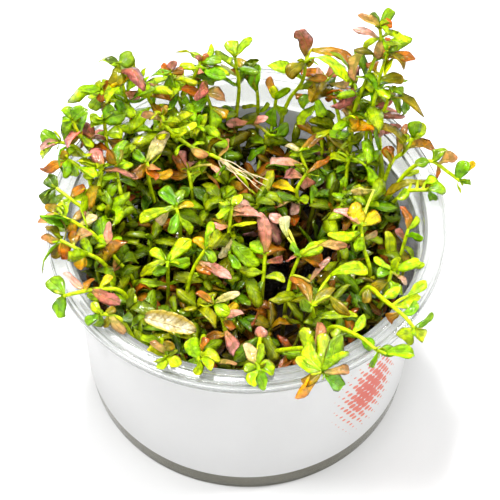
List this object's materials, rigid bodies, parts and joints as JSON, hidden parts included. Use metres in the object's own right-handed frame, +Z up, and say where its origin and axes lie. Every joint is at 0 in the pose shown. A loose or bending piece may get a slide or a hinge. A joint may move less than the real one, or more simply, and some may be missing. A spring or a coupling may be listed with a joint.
{
  "type": "potted aquarium plant",
  "caption": "Clump of young rotala with small oval leaves on thin stems, growing out of a clear round culture cup with a plain sleeve.",
  "frame": {"origin": "centre of the cup's flat base on the ground plane", "axes": "+Z up along the cup's axis, +X to the right and -Y towards the viewer of the picture"},
  "size_m": [0.0879, 0.0836, 0.0762],
  "materials": {
    "clear_plastic": "clear thin drawn plastic, glossy",
    "label_film": "white printed film, satin",
    "culture_gel": "moist set gel, dark and dull",
    "plant_tissue": "living leaf and stem, waxy sheen",
    "dead_leaf": "dried pale leaf, thin and creased"
  },
  "bodies": {
    "root": {"cup": "clear_plastic", "label": "label_film", "growth_medium": "culture_gel", "loose_leaf": "dead_leaf", "shoot_back_left_tall": "plant_tissue", "shoot_back_left_low": "plant_tissue", "shoot_back_left_fold": "plant_tissue", "shoot_back_cluster": "plant_tissue", "shoot_back_sprig": "plant_tissue", "shoot_back_tan": "plant_tissue", "shoot_seedling": "plant_tissue", "shoot_bud": "plant_tissue", "shoot_back_fold": "plant_tissue", "shoot_pink_top": "plant_tissue", "shoot_pink_red": "plant_tissue", "shoot_back_mass": "plant_tissue", "shoot_tall_right": "plant_tissue", "shoot_tall_right_two": "plant_tissue", "shoot_droop_right": "plant_tissue", "shoot_tan_round": "plant_tissue", "shoot_salmon": "plant_tissue", "shoot_right_top_pair": "plant_tissue", "shoot_curl": "plant_tissue", "shoot_right_long": "plant_tissue", "shoot_right_mid": "plant_tissue", "shoot_dark_round": "plant_tissue", "shoot_pink_big": "plant_tissue", "shoot_back_low": "plant_tissue", "shoot_cutting": "plant_tissue", "shoot_middle_pink": "plant_tissue", "shoot_pale_patterned": "plant_tissue", "shoot_olive_left": "plant_tissue", "shoot_pink_left": "plant_tissue", "shoot_left_mass": "plant_tissue", "shoot_left_outer": "plant_tissue", "shoot_left_pair": "plant_tissue", "shoot_left_brown": "plant_tissue", "shoot_left_dark": "plant_tissue", "shoot_left_tan": "plant_tissue", "shoot_left_low": "plant_tissue", "shoot_left_over": "plant_tissue", "shoot_left_inner": "plant_tissue", "shoot_lower_left": "plant_tissue", "shoot_middle_fold": "plant_tissue", "shoot_middle_cross": "plant_tissue", "shoot_middle_cross_two": "plant_tissue", "shoot_middle_pale": "plant_tissue", "shoot_middle_purple": "plant_tissue", "shoot_middle_right": "plant_tissue", "shoot_right_yellow": "plant_tissue", "shoot_v_shape": "plant_tissue", "shoot_right_wall": "plant_tissue", "shoot_right_cluster": "plant_tissue", "shoot_right_over": "plant_tissue", "shoot_right_front_over": "plant_tissue", "shoot_front_right_cluster": "plant_tissue", "shoot_front_shoot": "plant_tissue", "shoot_front_row_left": "plant_tissue", "shoot_front_row_right": "plant_tissue", "shoot_front_middle": "plant_tissue"}
  },
  "joints": []
}
